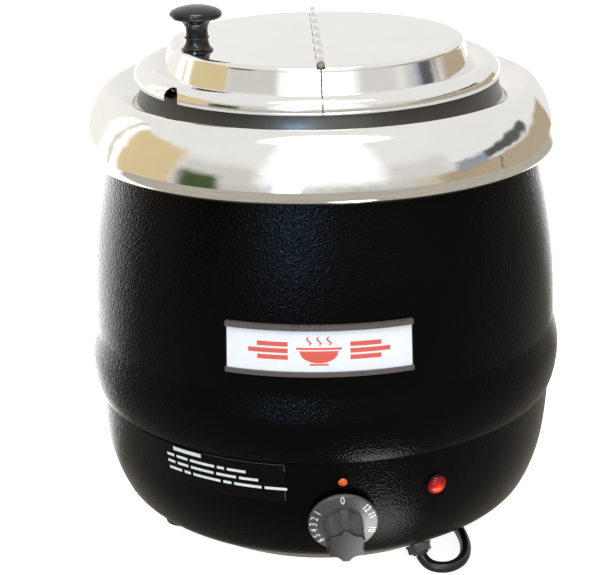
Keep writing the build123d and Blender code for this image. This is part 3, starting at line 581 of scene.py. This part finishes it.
def bowl_columns():
    columns = []
    for i in range(BOWL_STEPS + 1):
        x = -BOWL_HALF + 2 * BOWL_HALF * i / BOWL_STEPS
        columns.append((x, 0.0, x, -BOWL_DEEP * sqrt(max(0.0, 1 - (x / BOWL_HALF) ** 2)) - BOWL_EDGE))
    return columns


def steam_columns(middle):
    """One wavy wisp, thinner at its two ends."""
    columns = []
    for i in range(STEAM_STEPS + 1):
        y = STEAM_LOW + STEAM_TALL * i / STEAM_STEPS
        x = middle + STEAM_WAVE * sin(i / STEAM_STEPS * 2 * pi)
        half = STEAM_HALF * sin(pi * (0.12 + 0.76 * i / STEAM_STEPS))
        columns.append((x - half, y, x + half, y))
    return columns


def make_sign_print():
    """A steaming bowl between ruled lines, in red."""
    bm = bmesh.new()
    add_strip(bm, bowl_columns(), on_card)
    add_bar(bm, *BOWL_RIM, on_card)
    add_bar(bm, *BOWL_FOOT, on_card)
    for middle in STEAM_MIDDLES:
        add_strip(bm, steam_columns(middle), on_card)
    for side in (-1, 1):
        for near, far, y in RULES:
            ends = sorted((side * near, side * far))
            add_bar(bm, *ends, y - RULE_HALF, y + RULE_HALF, on_card, RULE_STEPS)
    new_piece("sign_print", bm, PRINT_RED, "kettle")


BASE_WALL = [(111.0, 168.7), (97.0, 167.9), (80.0, 166.6), (66.0, 164.7)]   # height and radius
LABEL_THICK = 0.5


def on_base(x, y, lift):
    """A point on the safety label: x is the azimuth in degrees and y the height."""
    for (high, outer), (low, inner) in zip(BASE_WALL, BASE_WALL[1:]):
        if low <= y <= high:
            radius = inner + (outer - inner) * (y - low) / (high - low)
            return wall_point(x, radius + LABEL_THICK + lift, y)
    raise ValueError("height outside the label")


LABEL_ROWS = [                   # height, cap height, first azimuth, each word's width in degrees
    (105.7, 2.8, -41.5, (8.0,)),
    (100.1, 2.0, -43.6, (2.2, 3.2, 6.6, 1.8, 4.6)),
    (95.0, 2.0, -43.5, (2.2, 3.2, 6.2, 5.0, 4.6)),
    (89.9, 2.0, -43.2, (3.8, 1.8, 7.4, 2.0, 6.6, 5.2)),
]
WORD_GAP = 0.75
LABEL_TOP_EDGE = (-33.0, -13.1, 108.0, 108.3)
LABEL_SIDE_EDGE = (-13.2, -13.05, 81.0, 108.3)


def make_label_print():
    """Rows of plain white bars where the label's printing would be, and its light edge."""
    bm = bmesh.new()
    for height, tall, start, words in LABEL_ROWS:
        for word in words:
            add_bar(bm, start, start + word, height - tall / 2, height + tall / 2, on_base)
            start += word + WORD_GAP
    new_piece("label_print", bm, PRINT_WHITE, "kettle")
    edge = bmesh.new()
    add_bar(edge, *LABEL_TOP_EDGE, on_base, 16)
    add_bar(edge, *LABEL_SIDE_EDGE, on_base, 2)
    new_piece("label_edge", edge, LABEL_EDGE, "kettle")


DIAL_PLACE = Vector((0, -164.4, 66.0))
DIAL_TILT = radians(12)
DIAL_X = Vector((1, 0, 0))
DIAL_Y = Vector((0, -sin(DIAL_TILT), cos(DIAL_TILT)))
DIAL_Z = Vector((0, -cos(DIAL_TILT), -sin(DIAL_TILT)))
SKIRT_SLOPE = atan2(1.6, 7.6)
SKIRT_INNER, SKIRT_FRONT = 15.0, 6.0     # the radius where the skirt starts, and its front there
NUMBER_RADIUS = 19.9
NUMBER_SIZE, ZERO_SIZE = 7.2, 7.8
NUMBER_NARROW = 0.8
NUMBER_LIFT = 0.03
# Each number's turn round the dial, in degrees clockwise from its top.
NUMBERS = {0: -2, 1: -58.8, 2: -73.7, 3: -88, 4: -102.4, 5: -117.2, 6: -131.4, 7: -155,
           8: -182, 9: -215, 10: -254, 11: -289.5, 12: -310.7}


def make_numerals():
    """Raised white numbers round the dial's skirt, their tops outwards."""
    bm = bmesh.new()
    for number, turn in NUMBERS.items():
        curve = bpy.data.curves.new("number", "FONT")
        curve.body = str(number)
        curve.size = ZERO_SIZE if number == 0 else NUMBER_SIZE
        curve.align_x, curve.align_y = "CENTER", "CENTER"
        curve.space_character = 0.9
        curve.extrude = 0.04
        curve.offset = 0.05
        text = bpy.data.objects.new("number", curve)
        scene.collection.objects.link(text)
        bpy.context.view_layer.update()
        mesh = bpy.data.meshes.new_from_object(text)
        angle = radians(turn)
        out = DIAL_X * sin(angle) + DIAL_Y * cos(angle)
        along = DIAL_X * cos(angle) - DIAL_Y * sin(angle)
        up = out * cos(SKIRT_SLOPE) - DIAL_Z * sin(SKIRT_SLOPE)
        face = DIAL_Z * cos(SKIRT_SLOPE) + out * sin(SKIRT_SLOPE)
        lift = SKIRT_FRONT - (NUMBER_RADIUS - SKIRT_INNER) * tan(SKIRT_SLOPE) + NUMBER_LIFT
        place = DIAL_PLACE + out * NUMBER_RADIUS + DIAL_Z * lift
        turned = Matrix((along * NUMBER_NARROW, up, face)).transposed().to_4x4()
        mesh.transform(Matrix.Scale(MM, 4) @ Matrix.Translation(place) @ turned)
        bm.from_mesh(mesh)
        bpy.data.objects.remove(text)
        bpy.data.meshes.remove(mesh)
    new_piece("dial_numerals", bm, PRINT_WHITE, "dial")


TIE_AZIMUTH = radians(62)
TIE_HALF = 8.3
TIE_ROUND = 4.2
TIE_WIDTH = 7.0
TIE_SHEET = 0.7
TIE_POINTS = 32
TIE_SHARP_ANGLE = radians(40)


def tie_outline(grow):
    """Points round the four strands of the coil, as distances from their middle."""
    points = []
    for i in range(TIE_POINTS):
        angle = (i + 0.5) * 2 * pi / TIE_POINTS
        centre = TIE_HALF - TIE_ROUND
        reach = TIE_ROUND + grow
        points.append((centre * (1 if cos(angle) > 0 else -1) + reach * cos(angle),
                       centre * (1 if sin(angle) > 0 else -1) + reach * sin(angle)))
    return points


def make_tie():
    """A soft plastic strap closed once round the coil."""
    middle = COIL_WIDE - COIL_PITCH / 2
    height = COIL_FLOOR + COIL_PITCH / 2
    out = Vector((cos(TIE_AZIMUTH), sin(TIE_AZIMUTH), 0))
    along = Vector((-sin(TIE_AZIMUTH), cos(TIE_AZIMUTH), 0))
    centre = Vector((*COIL_CENTRE, height)) + out * middle
    bm = bmesh.new()
    sections = []
    for grow, side in ((0, -1), (TIE_SHEET, -1), (TIE_SHEET, 1), (0, 1)):
        row = []
        for across, up in tie_outline(grow):
            spot = centre + out * across + Vector((0, 0, up)) + along * side * TIE_WIDTH / 2
            row.append(bm.verts.new(spot * MM))
        sections.append(row)
    for first, second in zip(sections, sections[1:] + sections[:1]):
        for i in range(TIE_POINTS):
            j = (i + 1) % TIE_POINTS
            bm.faces.new((first[i], first[j], second[j], second[i]))
    piece = new_piece("coil_tie", bm, GLAND_BLACK, "kettle", smooth=True)
    piece.data.set_sharp_from_angle(angle=TIE_SHARP_ANGLE)
    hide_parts("cord_tie")


make_sign_print()
make_label_print()
make_numerals()
make_tie()
make_cord()


# World, floor and light

ROOM_WHITE = (0.88, 0.875, 0.85)
FRONT_GREY = (0.62, 0.61, 0.58)
BACK_LEFT = (1.0, 0.98, 0.92)
# From and to, round the room from the front; from and to, in height; edge, all in degrees; share; colour.
ROOM_PATCHES = [
    (8, 32, -8, 9, 5.0, 0.5, (0.4, 0.4, 0.38)),
    (-75, -34, -10, 30, 5.0, 0.7, (0.6, 0.58, 0.52)),
    (28, 60, -10, 30, 5.0, 0.6, (0.62, 0.6, 0.56)),
    (-32, 26, 14, 60, 5.0, 0.9, (1.25, 1.25, 1.25)),
    (-112, -76, -10, 32, 2.5, 0.85, (0.72, 0.55, 0.26)),
    (-132, -113, -6, 34, 2.0, 0.8, (1.4, 1.36, 1.25)),
    (-121, -118, -10, 36, 1.0, 0.6, (0.4, 0.36, 0.25)),
    (-73, -52, -8, 17, 4.0, 0.95, (0.035, 0.07, 0.014)),
    (52, 140, -20, 11, 2.0, 0.85, (0.42, 0.31, 0.18)),
    (87, 88.6, -14, 9, 0.5, 0.7, (0.05, 0.04, 0.03)),
    (80, 116, 13, 20, 1.5, 0.93, (0.05, 0.05, 0.055)),
    (62, 82, 10, 19, 3.0, 0.75, (0.14, 0.17, 0.24)),
    (38, 56, -6, 12, 4.0, 0.5, (0.6, 0.52, 0.34)),
    (-50, 50, 62, 84, 4.0, 1.0, (7.0, 7.0, 7.0)),
    (-23, -14, 8, 17, 2.5, 1.0, (11.0, 22.0, 40.0)),
]


WARP_SCALE, WARP_DETAIL = 9.0, 4.0
WARP_ROUND, WARP_HEIGHT = 9.0, 0.7       # degrees round the room, and the share of it in height


def make_world():
    """The room that the kettle reflects, bright above and behind, with soft coloured patches.

    The patches stand for walls, a plant, a frame and a window. The camera itself sees plain white.
    """
    world = bpy.data.worlds.new("room")
    scene.world = world
    world.use_nodes = True
    room = Tree(world.node_tree)
    background = room.tree.nodes["Background"]
    direction = room.add("ShaderNodeTexCoord").outputs["Generated"]
    parts = room.add("ShaderNodeSeparateXYZ")
    room.link(direction, parts.inputs[0])
    x, y, z = parts.outputs
    ahead = room.math("MULTIPLY", y, -1.0)
    warp = room.add("ShaderNodeTexNoise", Scale=WARP_SCALE, Detail=WARP_DETAIL)
    room.link(direction, warp.inputs["Vector"])
    wobble = room.math("MULTIPLY", room.math("SUBTRACT", warp.outputs["Fac"], 0.5), WARP_ROUND)
    turn = room.math("ADD", room.math("DEGREES", room.math("ARCTAN2", x, ahead)), wobble)
    lift = room.math("ADD", room.math("DEGREES", room.math("ARCSINE", z)),
                     room.math("MULTIPLY", wobble, WARP_HEIGHT))

    front = room.smooth(ahead, 0.1, 0.6)
    low = room.math("SUBTRACT", 1.0, room.smooth(z, 0.06, 0.26))
    colour = room.mix(room.math("MULTIPLY", front, low), ROOM_WHITE, FRONT_GREY)
    behind = room.math("MULTIPLY", room.smooth(y, -0.1, 0.4),
                       room.smooth(room.math("MULTIPLY", x, -1.0), -0.3, 0.4))
    below = room.math("SUBTRACT", 1.0, room.smooth(z, 0.3, 0.7))
    colour = room.mix(room.math("MULTIPLY", behind, below), colour, BACK_LEFT)
    for left, right, bottom, top, edge, share, tint in ROOM_PATCHES:
        inside = room.math("MULTIPLY", room.band(turn, left, right, edge),
                           room.band(lift, bottom, top, edge))
        colour = room.mix(room.math("MULTIPLY", inside, share), colour, tint)
    camera_ray = room.add("ShaderNodeLightPath").outputs["Is Camera Ray"]
    room.link(room.mix(camera_ray, colour, (1.0, 1.0, 1.0)), background.inputs["Color"])
    background.inputs["Strength"].default_value = 1.0


FLOOR_HALF = 4.0
FLOOR_GLOW = 0.85
BEHIND_LEFT = (-2.3, -1.8)       # where the bright floor behind starts, in radians from the front
BEHIND_RIGHT = (2.25, 2.7)
BEHIND_COLOUR = (5.0, 5.0, 4.95)
GLARE_PLACE = (0.05, -0.215, 0)
GLARE_INNER, GLARE_OUTER = 0.02, 0.055
GLARE_COLOUR = (9.0, 9.0, 8.8)


def floor_white():
    """White to the camera. Other rays meet cream light in front, bright light behind and one glare."""
    n = Nodes("floor_white")
    n.set(Base_Color=(0.92, 0.92, 0.92), Roughness=0.6, Specular_IOR_Level=0.2)
    glow = n.add("ShaderNodeEmission")
    glow.inputs["Strength"].default_value = FLOOR_GLOW
    seen = n.add("ShaderNodeAddShader")
    n.link(n.shader.outputs[0], seen.inputs[0])
    n.link(glow.outputs[0], seen.inputs[1])
    camera_ray = n.add("ShaderNodeLightPath").outputs["Is Camera Ray"]
    x, y, _ = n.axes()
    turn = n.math("ARCTAN2", x, n.math("MULTIPLY", y, -1.0))
    left = n.span(turn, 1.0, 0.0, *BEHIND_LEFT)
    right = n.span(turn, 0.0, 0.9, *BEHIND_RIGHT)
    near = n.ramp(n.noise(7, detail=3), (0.35, (0.42, 0.4, 0.34)), (0.7, (0.54, 0.5, 0.42)))
    tone = n.mix(n.math("MAXIMUM", left, right), near, BEHIND_COLOUR)
    away = n.add("ShaderNodeVectorMath", operation="DISTANCE")
    n.link(n.position(), away.inputs[0])
    away.inputs[1].default_value = GLARE_PLACE
    glare = n.span(away.outputs["Value"], 1.0, 0.0, GLARE_INNER, GLARE_OUTER)
    reflected = n.add("ShaderNodeEmission")
    n.link(n.mix(glare, tone, GLARE_COLOUR), reflected.inputs["Color"])
    choice = n.add("ShaderNodeMixShader")
    n.link(camera_ray, choice.inputs[0])
    n.link(reflected.outputs[0], choice.inputs[1])
    n.link(seen.outputs[0], choice.inputs[2])
    n.link(choice.outputs[0], n.tree.nodes["Material Output"].inputs["Surface"])
    return n.material


def make_floor():
    mesh = bpy.data.meshes.new("floor")
    side = FLOOR_HALF
    mesh.from_pydata([(-side, -side, 0), (side, -side, 0), (side, side, 0), (-side, side, 0)], [],
                     [(0, 1, 2, 3)])
    floor = bpy.data.objects.new("floor", mesh)
    scene.collection.objects.link(floor)
    paint(floor, floor_white())


GLINT_PLACE = Vector((-0.1, -0.75, 0.75))
GLINT_TARGET = Vector((0.1, -0.15, 0.07))
GLINT_SIDE = 0.06
GLINT_POWER = 0.8


def make_glint():
    """A small square light, aimed a little to the right of the pilot lamp."""
    data = bpy.data.lights.new("lamp_glint", "AREA")
    data.shape = "RECTANGLE"
    data.size, data.size_y = GLINT_SIDE, GLINT_SIDE
    data.energy = GLINT_POWER
    light = bpy.data.objects.new("lamp_glint", data)
    scene.collection.objects.link(light)
    light.location = GLINT_PLACE
    light.rotation_euler = (GLINT_TARGET - GLINT_PLACE).to_track_quat("-Z", "Y").to_euler()
    light.visible_camera = False


make_world()
make_floor()
make_glint()
scene.view_settings.view_transform = "Standard"
